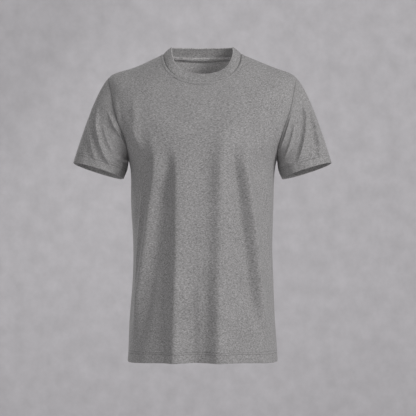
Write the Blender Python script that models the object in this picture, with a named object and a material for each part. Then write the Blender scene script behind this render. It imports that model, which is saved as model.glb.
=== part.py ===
"""Crew neck T-shirt, men's size M, filled out as if worn and empty inside.

Six cut pieces: front, back, two sleeves, a doubled rib neckband and a back neck tape.
+Z is up, -Y is the front and +X the wearer's left. The origin lies midway between the two
neck points of the shoulder seams, where the shirt bears on its wearer's shoulders.

The body is one smooth surface, body_point(angle, height). Its angle runs round the wearer,
from 0 at the centre front through 90 degrees at the left side to 180 at the centre back.
The panels are stretches of that surface between the seams, given a wall inwards.
"""

import math
from collections import namedtuple

import bpy
import numpy as np

# Driving sizes, in metres
BODY_LENGTH = 0.685  # neck point of the shoulder down to the hem
SHOULDER_WIDTH = 0.418  # between the tops of the two armholes
NECK_WIDTH = 0.175  # between the two neck points
FRONT_NECK_DROP = 0.0696
BACK_NECK_DROP = 0.0034
CHEST_WIDTH = 0.332  # seen from the front, just under the sleeves
WAIST_WIDTH = 0.313
HEM_WIDTH = 0.337
HEM_TURN = 0.020  # depth of the turned and stitched hem
CUFF_TURN = 0.018
BAND_WIDTH = 0.0245  # of the neck rib, folded double
TAPE_WIDTH = 0.012

# Cloth, in metres
WALL = 0.0014  # single jersey
HEM_WALL = 0.0026  # jersey doubled by its turning
BAND_WALL = 0.0026  # rib folded double
TAPE_WALL = 0.0010
SEAM_GAP = 0.0003

# How many steps the faceted panels take
PANEL_COLUMNS = 28
SIDE_CROWDING = 0.12  # how much closer the columns are at a panel's sides
LOWER_ROWS = 10  # hem turning to underarm
ARMHOLE_ROWS = 11  # underarm to shoulder tip, and half the sleeve's columns
SHOULDER_ROWS = 3  # shoulder tip to the neck tape's lower edge
SLEEVE_ROWS = 8  # armhole to cuff turning

# Rings round the body, from the hem up to the neck seam. A ring's half width and height are
# those at its sides. Its depths and heights at the centre front and back follow, and then
# how square it is and how sharply it climbs to the shoulder ridge. In metres.
Ring = namedtuple(
    "Ring", "name half_width side_z front_depth front_z back_depth back_z square dip"
)
RINGS = (
    Ring("hem", HEM_WIDTH / 2, -BODY_LENGTH, 0.118, -BODY_LENGTH, 0.112, -BODY_LENGTH, 0.10, 2.0),
    Ring("hip", 0.1630, -0.590, 0.119, -0.592, 0.110, -0.592, 0.10, 2.0),
    Ring("waist", WAIST_WIDTH / 2, -0.430, 0.122, -0.436, 0.108, -0.436, 0.10, 2.0),
    Ring("ribs", 0.1605, -0.310, 0.128, -0.322, 0.115, -0.320, 0.10, 2.0),
    Ring("under arm", CHEST_WIDTH / 2 + 0.003, -0.232, 0.132, -0.252, 0.122, -0.246, 0.10, 2.0),
    Ring("chest", 0.1900, -0.190, 0.132, -0.216, 0.124, -0.206, 0.10, 2.0),
    Ring("arm", 0.2080, -0.150, 0.126, -0.184, 0.122, -0.166, 0.10, 2.0),
    Ring("upper arm", 0.2145, -0.108, 0.115, -0.154, 0.114, -0.122, 0.12, 2.0),
    Ring("shoulder", 0.2130, -0.072, 0.104, -0.130, 0.102, -0.084, 0.09, 1.9),
    Ring("shoulder tip", SHOULDER_WIDTH / 2, -0.052, 0.098, -0.116, 0.094, -0.062, 0.04, 1.7),
    Ring("mid shoulder", 0.1700, -0.0335, 0.092, -0.0995, 0.082, -0.040, 0.09, 1.6),
    Ring("by the neck", 0.1270, -0.0165, 0.0865, -0.0845, 0.069, -0.019, 0.20, 1.5),
    Ring("neck seam", NECK_WIDTH / 2, 0.0, 0.082, -FRONT_NECK_DROP, 0.058, -BACK_NECK_DROP, 0.30, 1.35),
)
SQUARE_DEPTH = 0.08  # the same for the depths of every ring

# Flutes and drag folds of the body: ridges where height is above 0. Each runs from one angle
# and height to another and widens on its way down. A foot below the hem doesn't fade out.
# Angles in degrees, the rest in metres.
Fold = namedtuple(
    "Fold", "name top_angle foot_angle top_z foot_z fade before after height"
)
FOLDS = (
    Fold("right side ridge", -30, -65, -0.190, -0.660, 0.10, 8, 9, 0.0130),
    Fold("right valley", -24, -52, -0.235, -0.700, 0.12, 7, 7, -0.0040),
    Fold("right front flute", -17.4, -19.4, -0.200, -0.790, 0.18, 8, 15, 0.0200),
    Fold("centre flute", 11.5, 9.2, -0.150, -0.790, 0.20, 8, 13, 0.0150),
    Fold("left front flute", 25, 64, -0.195, -0.640, 0.10, 8, 8, 0.0140),
    Fold("left side ridge", 60, 76, -0.270, -0.560, 0.10, 7, 8, 0.0040),
    Fold("left back flute", 122, 118, -0.270, -0.790, 0.16, 12, 10, 0.0110),
    Fold("back flute", 156, 160, -0.230, -0.790, 0.18, 11, 14, 0.0120),
    Fold("centre back flute", 191, 188, -0.260, -0.790, 0.20, 12, 11, 0.0090),
    Fold("right back flute", 222, 216, -0.240, -0.790, 0.16, 10, 13, 0.0120),
    Fold("right blade fold", 246, 252, -0.260, -0.640, 0.12, 8, 8, 0.0070),
)

# The armhole on the body's surface: half the angle that it spans, in front and behind
ARMHOLE_FRONT_HALF = math.radians(30)
ARMHOLE_BACK_HALF = math.radians(29)
ARMHOLE_EGG = 0.18  # narrower by this share towards the shoulder

# The sleeve, as on the wearer's left. The cuff's ring leans with the hanging arm.
CUFF_CENTRE = (0.2345, -0.006, -0.2635)
CUFF_HALF_WIDTH = 0.0581  # seen from the front
CUFF_HALF_DEPTH = 0.0600
CUFF_BACK_DROP = 0.0050  # the back of the cuff hangs lower
ARM_LEAN = math.radians(17.3)
CAP_START, CAP_END = 0.17, 0.45  # how far the sleeve runs straight on from either end
CAP_OUT = 0.20  # how far the shoulder's slope carries into the sleeve
CAP_ROUND = 0.25  # how far the sleeve swells from its seam
UNDERARM_OUT = 0.45  # how far it stands off the body below the underarm

# Folds of the sleeves. Angles run from 0 on the outer edge through 90 in front to 180 at
# the underarm, and along from 0 at the armhole to 1 at the cuff.
SleeveFold = namedtuple(
    "SleeveFold", "side top_angle foot_angle top foot before after height"
)
LEFT, RIGHT = 1, -1
SLEEVE_FOLDS = (
    SleeveFold(RIGHT, 60, 110, 0.15, 0.95, 13, 16, 0.0050),
    SleeveFold(RIGHT, 106, 132, 0.22, 0.75, 12, 12, 0.0045),
    SleeveFold(RIGHT, 30, 62, 0.30, 1.05, 14, 12, -0.0035),
    SleeveFold(RIGHT, 285, 250, 0.20, 1.00, 14, 18, 0.0050),
    SleeveFold(LEFT, 64, 84, 0.20, 1.10, 18, 14, 0.0045),
    SleeveFold(LEFT, 106, 130, 0.15, 0.70, 12, 12, 0.0045),
    SleeveFold(LEFT, 40, 36, 0.40, 1.10, 14, 14, -0.0030),
    SleeveFold(LEFT, 275, 255, 0.15, 1.00, 16, 16, 0.0050),
)

# How far the neck rib leans in from upright
BAND_LEAN_SIDE = math.radians(49)
BAND_LEAN_FRONT = math.radians(39)
BAND_LEAN_BACK = math.radians(28)
BAND_CROWN = 0.0008  # how far the rib's face bellies out

GREY_MELANGE = (0.262, 0.258, 0.258, 1.0)
GREY_RIB = (0.250, 0.246, 0.246, 1.0)

HALF_TURN = math.pi
QUARTER_TURN = math.pi / 2
STEP = 0.02  # for slopes: radians round a piece and the same share along it


# Curves and slopes
def unit(vectors):
    return vectors / np.linalg.norm(vectors, axis=-1, keepdims=True)


def smooth(share):
    """0 up to share 0, 1 from share 1, with level ends."""
    share = np.clip(share, 0, 1)
    return share * share * (3 - 2 * share)


def natural_spline(knots, values, at):
    """A cubic through every value whose curvature is continuous, and 0 at its two ends."""
    gaps = np.diff(knots)
    matrix = np.eye(len(knots))
    right = np.zeros_like(values)
    slopes = np.diff(values, axis=0) / gaps[:, None]
    for i in range(1, len(gaps)):
        matrix[i, i - 1 : i + 2] = gaps[i - 1], 2 * (gaps[i - 1] + gaps[i]), gaps[i]
        right[i] = 6 * (slopes[i] - slopes[i - 1])
    bends = np.linalg.solve(matrix, right)
    i = np.clip(np.searchsorted(knots, at, side="right") - 1, 0, len(gaps) - 1)
    gap = gaps[i][..., None]
    b = (at - knots[i])[..., None] / gap
    a = 1 - b
    return (
        a * values[i]
        + b * values[i + 1]
        + ((a**3 - a) * bends[i] + (b**3 - b) * bends[i + 1]) * gap**2 / 6
    )


def normals_of(surface, u, v, v_step):
    """Unit normals of surface(u, v), from its slopes both ways."""
    along_u = surface(u + STEP, v) - surface(u - STEP, v)
    along_v = surface(u, v + v_step) - surface(u, v - v_step)
    return unit(np.cross(along_u, along_v))


# The body's surface
RING_VALUES = np.array([ring[1:] for ring in RINGS])


def ring_levels():
    """Each ring's level: how far it lies along the body from the hem, in metres, as the mean
    of the ways up its side, front and back."""
    half, side_z, front, front_z, back, back_z = RING_VALUES.T[:6]
    ways = ((half, side_z), (front, front_z), (back, back_z))
    steps = sum(np.hypot(np.diff(out), np.diff(up)) for out, up in ways) / len(ways)
    return np.concatenate([[0], np.cumsum(steps)])


LEVELS = ring_levels()
LEVEL_OF = {ring.name: level for ring, level in zip(RINGS, LEVELS)}
UNDERARM, TIP, NECK = (
    LEVEL_OF[name] for name in ("under arm", "shoulder tip", "neck seam")
)
LEVEL_STEP = 0.003


def fold_height(angle, z):
    """How far the folds push the cloth out there."""
    degrees = np.degrees(angle)
    total = np.zeros_like(z)
    for fold in FOLDS:
        share = (fold.top_z - z) / (fold.top_z - fold.foot_z)
        centre = fold.top_angle + (fold.foot_angle - fold.top_angle) * share
        off = (degrees - centre + 180) % 360 - 180
        reach = np.where(off < 0, fold.before, fold.after) * (0.75 + 0.35 * share)
        start = smooth((fold.top_z - z) / fold.fade)
        end = smooth((z - fold.foot_z) / fold.fade)
        total += fold.height * np.exp(-((off / reach) ** 2)) * start * end
    return total


def body_point(angle, level):
    """The outside of the body: a squared ellipse at each level, whose edge climbs from the
    centre front and back to the sides, pushed out by the folds."""
    ring = natural_spline(LEVELS, RING_VALUES, level)
    half, side_z, front, front_z, back, back_z, square, dip = np.moveaxis(ring, -1, 0)
    across, ahead = np.sin(angle), np.cos(angle)
    depth = np.where(ahead >= 0, front, back)
    centre_z = np.where(ahead >= 0, front_z, back_z)
    x = half * across * (1 + square * ahead**2)
    y = -depth * ahead * (1 + SQUARE_DEPTH * across**2)
    z = side_z + (centre_z - side_z) * np.abs(ahead) ** dip
    out = unit(np.stack([across / half, -ahead / depth, np.zeros_like(half)], axis=-1))
    return np.stack([x, y, z], axis=-1) + out * fold_height(angle, z)[..., None]


def body_normal(angle, level):
    return normals_of(body_point, angle, level, LEVEL_STEP)


# The armhole and the sleeve
def armhole_level(turn):
    """Level of the armhole's edge, turn running from 0 at the shoulder to pi at the underarm."""
    return (UNDERARM + TIP) / 2 + (TIP - UNDERARM) / 2 * np.cos(turn)


def armhole_angle(turn):
    """Angle round the body of the left armhole's edge: an egg about the side."""
    half = np.where(np.sin(turn) >= 0, ARMHOLE_FRONT_HALF, ARMHOLE_BACK_HALF)
    return QUARTER_TURN - half * np.sin(turn) * (1 - ARMHOLE_EGG * np.cos(turn))


def mirror(points, side):
    return points * np.array([side, 1, 1])


def sleeve_fold_height(turn, along, side):
    degrees = np.degrees(turn)
    total = np.zeros_like(along)
    for fold in SLEEVE_FOLDS:
        if fold.side != side:
            continue
        share = (along - fold.top) / (fold.foot - fold.top)
        centre = fold.top_angle + (fold.foot_angle - fold.top_angle) * share
        off = (degrees - centre + 180) % 360 - 180
        reach = np.where(off < 0, fold.before, fold.after)
        ends = smooth(share * 3) * smooth((1 - share) * 3)
        total += fold.height * np.exp(-((off / reach) ** 2)) * ends
    return total


def smooth_sleeve(turn, along, side):
    """The sleeve with no folds: from each point of the armhole a Bezier curve leaves on the
    shoulder's slope and comes to the cuff's ring along the arm."""
    cos, sin = np.cos(turn)[..., None], np.sin(turn)[..., None]
    down = np.array([math.sin(ARM_LEAN), 0, -math.cos(ARM_LEAN)])
    outer = np.array([math.cos(ARM_LEAN), 0, math.sin(ARM_LEAN)])
    ahead = np.array([0, -1, CUFF_BACK_DROP / CUFF_HALF_DEPTH])
    start = mirror(body_point(side * armhole_angle(turn), armhole_level(turn)), side)
    end = CUFF_CENTRE + CUFF_HALF_WIDTH * cos * outer + CUFF_HALF_DEPTH * sin * ahead
    slope = np.array([1, 0, 0.35])
    seam_out = mirror(body_normal(side * armhole_angle(turn), armhole_level(turn)), side)
    leave = unit(
        down
        + CAP_OUT * ((1 + cos) / 2) ** 2 * slope
        + CAP_ROUND * (np.maximum(cos, 0) * outer + sin * ahead)
        + UNDERARM_OUT * (1 - cos) / 2 * seam_out
    )
    chord = np.linalg.norm(end - start, axis=-1, keepdims=True)
    start = start + 1.6 * SEAM_GAP * unit(leave + seam_out)
    near, far = start + CAP_START * chord * leave, end - CAP_END * chord * down
    t = along[..., None]
    points = (
        start * (1 - t) ** 3
        + near * 3 * t * (1 - t) ** 2
        + far * 3 * t**2 * (1 - t)
        + end * t**3
    )
    return mirror(points, side)


def sleeve_surface(side):
    """The sleeve with its folds, as a function of turn and along."""

    def base(turn, along):
        return smooth_sleeve(turn, along, side)

    def folded(turn, along):
        out = side * normals_of(base, turn, along, STEP)
        return base(turn, along) + out * sleeve_fold_height(turn, along, side)[..., None]

    return folded


# The neck rib
def band_lean(angle):
    ahead = np.cos(angle)
    centre = np.where(ahead >= 0, BAND_LEAN_FRONT, BAND_LEAN_BACK)
    share = np.where(ahead >= 0, ahead**2, np.abs(ahead) ** 1.2)
    return BAND_LEAN_SIDE + (centre - BAND_LEAN_SIDE) * share


def band_point(angle, up):
    """The rib's outside: it leaves the neck seam, leans in over the wearer's neck and
    bellies out a little. up runs from 0 at the seam to 1 at the fold."""
    foot = body_point(angle, np.full_like(angle, NECK))
    ahead = body_point(angle + STEP, np.full_like(angle, NECK))
    behind = body_point(angle - STEP, np.full_like(angle, NECK))
    along = unit((ahead - behind) * np.array([1, 1, 0]))
    inward = np.cross(np.array([0, 0, 1.0]), along)
    lean = band_lean(angle)[..., None]
    rise = np.cos(lean) * np.array([0, 0, 1.0]) + np.sin(lean) * inward
    out = np.sin(lean) * np.array([0, 0, 1.0]) - np.cos(lean) * inward
    belly = BAND_CROWN * 4 * (up * (1 - up))[..., None]
    reach = SEAM_GAP + BAND_WIDTH * up[..., None]
    return foot + rise * reach + out * belly


def band_normal(angle, up):
    return normals_of(band_point, angle, up, STEP)


# Walls and solids
def share_edge(first, second):
    """The ways in which two walls that meet at a seam get their thickness there: the same way
    where they run on, and each its own way where the seam folds sharply back."""
    alike = smooth(((first * second).sum(axis=-1, keepdims=True) - 0.2) / 0.4)
    both = unit(first + second)
    return unit(first + (both - first) * alike), unit(second + (both - second) * alike)


def triangles(a, b, c, d, across):
    """Two triangles for each four corners, met along a-c, or along b-d where across is set."""
    first = np.where(across[..., None], np.stack([a, b, d], -1), np.stack([a, b, c], -1))
    second = np.where(across[..., None], np.stack([b, c, d], -1), np.stack([a, c, d], -1))
    return np.concatenate([first.reshape(-1, 3), second.reshape(-1, 3)])


def wall_mesh(outer, inner, closed):
    """Points and triangles of the solid between two grids of the same shape, rows by columns.
    closed joins the last column to the first. Each four corners are met along their shorter
    diagonal."""
    rows, columns = outer.shape[:2]
    index = np.arange(rows * columns).reshape(rows, columns)
    if closed:
        index = np.hstack([index, index[:, :1]])
    inside = index + rows * columns
    points = np.concatenate([outer.reshape(-1, 3), inner.reshape(-1, 3)])
    a, b, c, d = index[:-1, :-1], index[:-1, 1:], index[1:, 1:], index[1:, :-1]
    lengths = [np.linalg.norm(points[p] - points[q], axis=-1) for p, q in ((a, c), (b, d))]
    across = lengths[1] < lengths[0]

    def rim(top, under):
        whole = np.zeros(len(top) - 1, bool)
        return triangles(top[:-1], under[:-1], under[1:], top[1:], whole)

    skin = triangles(a, b, c, d, across)
    faces = [skin, skin[:, ::-1] + rows * columns]
    faces += [rim(index[0], inside[0]), rim(index[-1, ::-1], inside[-1, ::-1])]
    if not closed:
        faces += [rim(index[::-1, 0], inside[::-1, 0]), rim(index[:, -1], inside[:, -1])]
    return points, np.concatenate(faces)


def add_piece(name, outer, inner, material, closed=False):
    """A named solid between its outer and inner grids, its faces pointing out."""
    points, faces = wall_mesh(outer, inner, closed)
    if np.linalg.det(points[faces]).sum() < 0:
        faces = faces[:, ::-1]
    mesh = bpy.data.meshes.new(name)
    mesh.from_pydata(points.tolist(), [], faces.tolist())
    mesh.materials.append(material)
    mesh.shade_smooth()
    mesh.set_sharp_from_angle(angle=math.radians(50))
    piece = bpy.data.objects.new(name, mesh)
    bpy.context.scene.collection.objects.link(piece)
    return piece


def cloth(name, colour):
    material = bpy.data.materials.new(name)
    material.use_nodes = True
    shader = material.node_tree.nodes["Principled BSDF"]
    shader.inputs["Base Color"].default_value = colour
    shader.inputs["Roughness"].default_value = 0.92
    shader.inputs["Metallic"].default_value = 0.0
    return material


def panel_levels():
    """Rows of the front and the back: two make the step at the top of the hem's turning, and
    those of the armhole are the sleeve's columns."""
    hem = np.array([0, HEM_TURN - WALL, HEM_TURN])
    share = np.linspace(0, 1, LOWER_ROWS + 1)[1:-1]
    lower = HEM_TURN + (UNDERARM - HEM_TURN) * share * (1.45 - 0.45 * share)
    armhole = armhole_level(np.linspace(HALF_TURN, 0, ARMHOLE_ROWS + 1))
    tape = NECK - TAPE_WIDTH
    shoulder = np.linspace(TIP, tape, SHOULDER_ROWS + 1)[1:]
    return np.concatenate([hem, lower, armhole, shoulder, [NECK]])


def spread_columns():
    """Where a panel's columns lie between its sides at -1 and 1."""
    even = np.linspace(-1, 1, PANEL_COLUMNS + 1)
    return even + SIDE_CROWDING * np.sin(np.pi * even) / np.pi


def panel_half_angles(levels, centre):
    """How far a panel reaches round the body from its centre at each level, to the side seam,
    the armhole or the shoulder seam."""
    ring = natural_spline(LEVELS, RING_VALUES, levels)
    seam = QUARTER_TURN - SEAM_GAP / 2 / (ring[:, 2] if centre == 0 else ring[:, 4])
    between = (2 * levels - UNDERARM - TIP) / (TIP - UNDERARM)
    turn = np.arccos(np.clip(between, -1, 1))
    if centre == 0:
        armhole = armhole_angle(turn)
    else:
        armhole = HALF_TURN - armhole_angle(-turn)
    return np.minimum(seam, armhole)


def body_panel(name, centre, material):
    """The front (centre 0) or the back (centre pi), and its outer grid's angles and levels."""
    rows = panel_levels()
    across = spread_columns()
    levels = np.repeat(rows[:, None], len(across), axis=1)
    angles = centre + panel_half_angles(rows, centre)[:, None] * across
    outer = body_point(angles, levels)
    ways = body_normal(angles, levels)
    ways[-1] = share_edge(ways[-1], band_normal(angles[-1], np.zeros_like(angles[-1])))[0]
    at_armhole = (rows > UNDERARM + LEVEL_STEP) & (rows < TIP - LEVEL_STEP)
    turns = np.arccos((2 * rows[at_armhole] - UNDERARM - TIP) / (TIP - UNDERARM))
    for column, side in ((0, RIGHT), (-1, LEFT)):
        facing = side if centre == 0 else -side
        turn = turns if centre == 0 else -turns
        sleeve = sleeve_normal(turn, np.zeros_like(turn), facing)
        ways[at_armhole, column] = share_edge(ways[at_armhole, column], sleeve)[0]
    wall = np.where(rows < HEM_TURN, HEM_WALL, WALL)[:, None, None]
    add_piece(name, outer, outer - ways * wall, material)
    return angles, levels, ways


def sleeve_normal(turn, along, side):
    return side * normals_of(sleeve_surface(side), turn, along, STEP)


def sleeve(name, side, material):
    """A tube from the armhole's edge to the cuff, with the step of its turned hem inside."""
    turn = np.arange(2 * ARMHOLE_ROWS) * HALF_TURN / ARMHOLE_ROWS
    length = 0.11  # along the shortest stretch, near the underarm
    turning = 1 - CUFF_TURN / length
    rows = np.concatenate([np.linspace(0, turning, SLEEVE_ROWS + 1), [turning + WALL / length, 1]])
    turns, alongs = np.meshgrid(turn, rows)
    outer = sleeve_surface(side)(turns, alongs)
    ways = sleeve_normal(turns, alongs, side)
    body = body_normal(side * armhole_angle(turn), armhole_level(turn))
    ways[0] = share_edge(body, ways[0])[1]
    wall = np.where(rows > turning, HEM_WALL, WALL)[:, None, None]
    return add_piece(name, outer, outer - ways * wall, material, closed=True)


def neckband(material):
    """The rib ring, whose columns are those of the two panels' neck edges."""
    front = panel_half_angles(np.array([NECK]), 0)[0] * spread_columns()
    angle = np.concatenate([front, front + HALF_TURN])
    ups = np.array([0, 0.5, 1])
    angles, levels = np.meshgrid(angle, ups)
    outer = band_point(angles, levels)
    ways = band_normal(angles, levels)
    ways[0] = share_edge(body_normal(angle, np.full_like(angle, NECK)), ways[0])[1]
    return add_piece("neckband", outer, outer - ways * BAND_WALL, material, closed=True)


def neck_tape(angles, levels, ways, material):
    """The tape over the back neck seam, on the back panel's inside: the panel's own points in
    its top two rows, moved in past its wall."""
    points = body_point(angles[-2:, 1:-1], levels[-2:, 1:-1])
    ways = ways[-2:, 1:-1]
    face = points - ways * (WALL + SEAM_GAP)
    return add_piece("neck_tape", face, face - ways * TAPE_WALL, material)


def main():
    for old in list(bpy.data.objects):
        bpy.data.objects.remove(old)
    jersey = cloth("grey_melange_jersey", GREY_MELANGE)
    rib = cloth("grey_rib", GREY_RIB)
    body_panel("front", 0, jersey)
    back = body_panel("back", HALF_TURN, jersey)
    sleeve("sleeve_left", LEFT, jersey)
    sleeve("sleeve_right", RIGHT, jersey)
    neckband(rib)
    neck_tape(*back, rib)


main()
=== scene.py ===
"""Crew neck T-shirt in grey melange jersey: the cloth, seams, stitches, stage and light.

The shirt is filled out as if worn. +Z is up, -Y is the front, +X the wearer's left, and the
origin lies midway between the neck points of the shoulder seams. The body is one smooth
surface, body_point(angle, level). Its angle runs round the wearer from 0 at the centre
front through 90 degrees at the left side, and its level runs up the cloth from the hem.
"""

import math
from collections import namedtuple

import bpy
import numpy as np
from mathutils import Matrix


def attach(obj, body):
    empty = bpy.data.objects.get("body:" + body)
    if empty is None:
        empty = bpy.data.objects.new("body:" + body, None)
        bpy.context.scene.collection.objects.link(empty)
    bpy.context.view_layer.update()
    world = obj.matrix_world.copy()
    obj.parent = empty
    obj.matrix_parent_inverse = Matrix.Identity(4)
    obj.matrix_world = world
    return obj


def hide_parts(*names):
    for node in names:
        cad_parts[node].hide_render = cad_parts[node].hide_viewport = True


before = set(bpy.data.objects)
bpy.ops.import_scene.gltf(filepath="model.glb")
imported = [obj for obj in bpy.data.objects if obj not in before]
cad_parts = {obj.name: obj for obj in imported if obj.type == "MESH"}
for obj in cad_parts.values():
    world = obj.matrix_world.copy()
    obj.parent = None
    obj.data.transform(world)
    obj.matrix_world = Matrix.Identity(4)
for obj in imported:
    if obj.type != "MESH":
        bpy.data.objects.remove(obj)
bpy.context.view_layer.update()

# Sizes, in metres
SHOULDER_WIDTH = 0.418
NECK_WIDTH = 0.175
FRONT_NECK_DROP = 0.0696
BACK_NECK_DROP = 0.0034
CHEST_WIDTH = 0.332
WAIST_WIDTH = 0.313
HEM_WIDTH = 0.337
BAND_WIDTH = 0.0250
BAND_WALL = 0.0028
TAPE_WIDTH = 0.012
TAPE_WALL = 0.0009
TAPE_LAP = 0.0016  # of the tape, over the rib
TAPE_DEPTH = 0.0013  # of its near face, inside the cloth's outside
TAPE_RISE = 0.0012  # more where it covers the seam
TAPE_CROWN = 0.0010  # how far its middle stands in from its long edges
TAPE_STITCH = 0.0018  # the seam to the row of stitches that holds it
TAPE_SHORT = 0.02  # radians from each of its ends to the shoulder seam
WALL = 0.0011
HEM_WALL = 0.0022
SEAM_GAP = 0.00008
RIGHT_SHOULDER_DROP = 0.0032  # the wearer's right shoulder sits lower

HEM_STITCH = 0.0190  # lower row of the hem's twin needle, above the edge
CUFF_STITCH = 0.0175
NECK_STITCH = 0.0072  # the neck's row of topstitching, outside its seam
TWIN = 0.0048  # between a twin needle's two rows
STITCH_PITCH = 0.0030
THREAD = 0.00042
THREAD_DEPTH = 0.00060 - 0.35 * THREAD  # of a stitch's middle, inside the cloth's outside
CHANNEL_REACH = 0.0009  # of the channel that a row of stitches pulls in, to each side
ALLOWANCE_WIDTH = 0.0052  # of the overlocked seam allowances inside
ALLOWANCE_THICKNESS = 0.0014

# Rings round the body, from the hem up to the neck seam. A ring's half width and height are
# those at its sides. Its depths and heights at the centre front and back follow, and then
# how square it is and how sharply it climbs to the shoulder ridge.
Ring = namedtuple(
    "Ring", "name half_width side_z front_depth front_z back_depth back_z square dip"
)
RINGS = (
    Ring("hem", HEM_WIDTH / 2, -0.6900, 0.118, -0.6825, 0.112, -0.6830, 0.10, 2.0),
    Ring("hip", 0.1630, -0.590, 0.119, -0.592, 0.110, -0.592, 0.10, 2.0),
    Ring("waist", WAIST_WIDTH / 2, -0.430, 0.122, -0.436, 0.108, -0.436, 0.10, 2.0),
    Ring("ribs", 0.1605, -0.310, 0.128, -0.322, 0.115, -0.320, 0.10, 2.0),
    Ring("under arm", CHEST_WIDTH / 2 + 0.003, -0.232, 0.132, -0.252, 0.122, -0.246, 0.10, 2.0),
    Ring("chest", 0.1900, -0.190, 0.132, -0.216, 0.124, -0.206, 0.10, 2.0),
    Ring("arm", 0.2080, -0.150, 0.126, -0.184, 0.122, -0.166, 0.10, 2.0),
    Ring("upper arm", 0.2145, -0.108, 0.115, -0.154, 0.114, -0.122, 0.12, 2.0),
    Ring("shoulder", 0.2130, -0.072, 0.104, -0.130, 0.102, -0.084, 0.09, 1.9),
    Ring("shoulder tip", SHOULDER_WIDTH / 2, -0.052, 0.098, -0.116, 0.094, -0.062, 0.04, 1.7),
    Ring("mid shoulder", 0.1700, -0.0335, 0.092, -0.0995, 0.082, -0.040, 0.09, 1.6),
    Ring("by the neck", 0.1270, -0.0165, 0.0865, -0.0845, 0.069, -0.019, 0.20, 1.5),
    Ring("neck", NECK_WIDTH / 2, 0.0, 0.082, -FRONT_NECK_DROP, 0.058, -BACK_NECK_DROP, 0.30, 1.35),
)
SQUARE_DEPTH = 0.08  # how square every ring is in its depth; its own number is for its width

# Flutes, drags and creases of the body: ridges where height is above 0. Each runs from one
# angle and height to another, bows by so many degrees on its way and widens as it falls.
# Angles in degrees, the rest in metres.
Fold = namedtuple(
    "Fold", "top_angle foot_angle bow top_z foot_z fade_in fade_out before after height"
)
FOLDS = (
    # flutes of the front
    Fold(-29.2, -66.5, 3.4, -0.165, -0.640, 0.12, 0.12, 6.5, 8.4, 0.0150),
    Fold(-22.5, -60.0, 2.4, -0.215, -0.720, 0.08, 0.14, 6.0, 6.0, -0.0058),
    Fold(-17.2, -18.0, 0.0, -0.185, -0.600, 0.13, 0.22, 4.8, 15.0, 0.0170),
    Fold(-17.7, -18.9, 0.0, -0.370, -0.950, 0.20, 0.20, 6.4, 8.5, 0.0225),
    Fold(12.5, 9.0, 0.8, -0.120, -0.950, 0.15, 0.20, 6.5, 12.0, 0.0125),
    Fold(10.0, 9.2, 0.0, -0.440, -0.950, 0.16, 0.20, 7.0, 9.0, 0.0122),
    Fold(-6.5, -5.5, 0.0, -0.480, -0.950, 0.16, 0.20, 7.0, 5.0, -0.0035),
    Fold(24.5, 54.0, 3.6, -0.185, -0.680, 0.09, 0.18, 6.2, 6.5, 0.0172),
    Fold(16.5, 46.0, 3.0, -0.185, -0.680, 0.09, 0.18, 7.0, 4.5, -0.0062),
    # smaller ones between them
    Fold(-45.0, -72.0, 0.0, -0.250, -0.560, 0.06, 0.12, 3.4, 3.4, 0.0052),
    Fold(55.0, 70.0, 0.0, -0.235, -0.520, 0.06, 0.12, 4.5, 4.5, 0.0040),
    Fold(-1.5, -2.5, 0.0, -0.480, -0.690, 0.06, 0.06, 4.0, 5.0, 0.0024),
    Fold(34.0, 60.0, 0.0, -0.550, -0.800, 0.05, 0.05, 6.0, 8.0, 0.0045),
    # flutes of the back
    Fold(122, 118, 2.0, -0.270, -0.900, 0.14, 0.2, 9, 8, 0.0115),
    Fold(156, 160, -1.0, -0.230, -0.900, 0.16, 0.2, 8, 13, 0.0125),
    Fold(191, 188, 1.0, -0.260, -0.900, 0.18, 0.2, 11, 8, 0.0095),
    Fold(222, 216, 2.0, -0.240, -0.900, 0.14, 0.2, 8, 12, 0.0125),
    Fold(246, 252, 0.0, -0.260, -0.640, 0.10, 0.12, 7, 7, 0.0070),
    Fold(108, 101, 0.0, -0.250, -0.540, 0.06, 0.12, 4, 5, 0.0035),
    Fold(138, 141, 0.0, -0.420, -0.700, 0.08, 0.06, 5, 5, 0.0030),
    Fold(174, 176, 0.0, -0.460, -0.800, 0.10, 0.10, 5, 6, 0.0026),
    Fold(203, 205, 0.0, -0.400, -0.660, 0.08, 0.08, 5, 5, 0.0028),
)

# Drags of the chest and back: soft ridges along a line across the body from the first point,
# which is (across, up) in the front or back view, to the second. front is 1 or -1.
Drag = namedtuple("Drag", "front from_x from_z to_x to_z reach height")
DRAGS = (
    Drag(1, -0.168, -0.150, -0.120, -0.235, 0.0095, 0.0026),
    Drag(1, -0.152, -0.170, -0.128, -0.245, 0.0070, 0.0016),
    Drag(1, -0.1905, -0.108, -0.1780, -0.190, 0.0044, 0.0034),
    Drag(1, -0.1500, -0.112, -0.1430, -0.205, 0.0090, 0.0034),
    Drag(1, 0.169, -0.150, 0.128, -0.230, 0.0090, 0.0024),
    Drag(1, 0.1800, -0.112, 0.1710, -0.195, 0.0042, 0.0030),
    Drag(1, 0.1640, -0.110, 0.1560, -0.190, 0.0060, 0.0022),
    Drag(1, 0.1400, -0.165, 0.1300, -0.240, 0.0060, 0.0018),
    Drag(-1, -0.165, -0.140, -0.110, -0.230, 0.0100, 0.0030),
    Drag(-1, 0.168, -0.145, 0.118, -0.240, 0.0095, 0.0028),
    Drag(-1, 0.150, -0.185, 0.085, -0.265, 0.0085, 0.0018),
    Drag(-1, -0.060, -0.045, -0.125, -0.095, 0.0110, 0.0016),
    Drag(-1, 0.070, -0.048, 0.120, -0.100, 0.0120, 0.0014),
)

# The armhole's half width round the body, before and behind the side, and how egg-shaped it is
ARMHOLE_FRONT_HALF = math.radians(30)
ARMHOLE_BACK_HALF = math.radians(29)
ARMHOLE_EGG = 0.18

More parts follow.
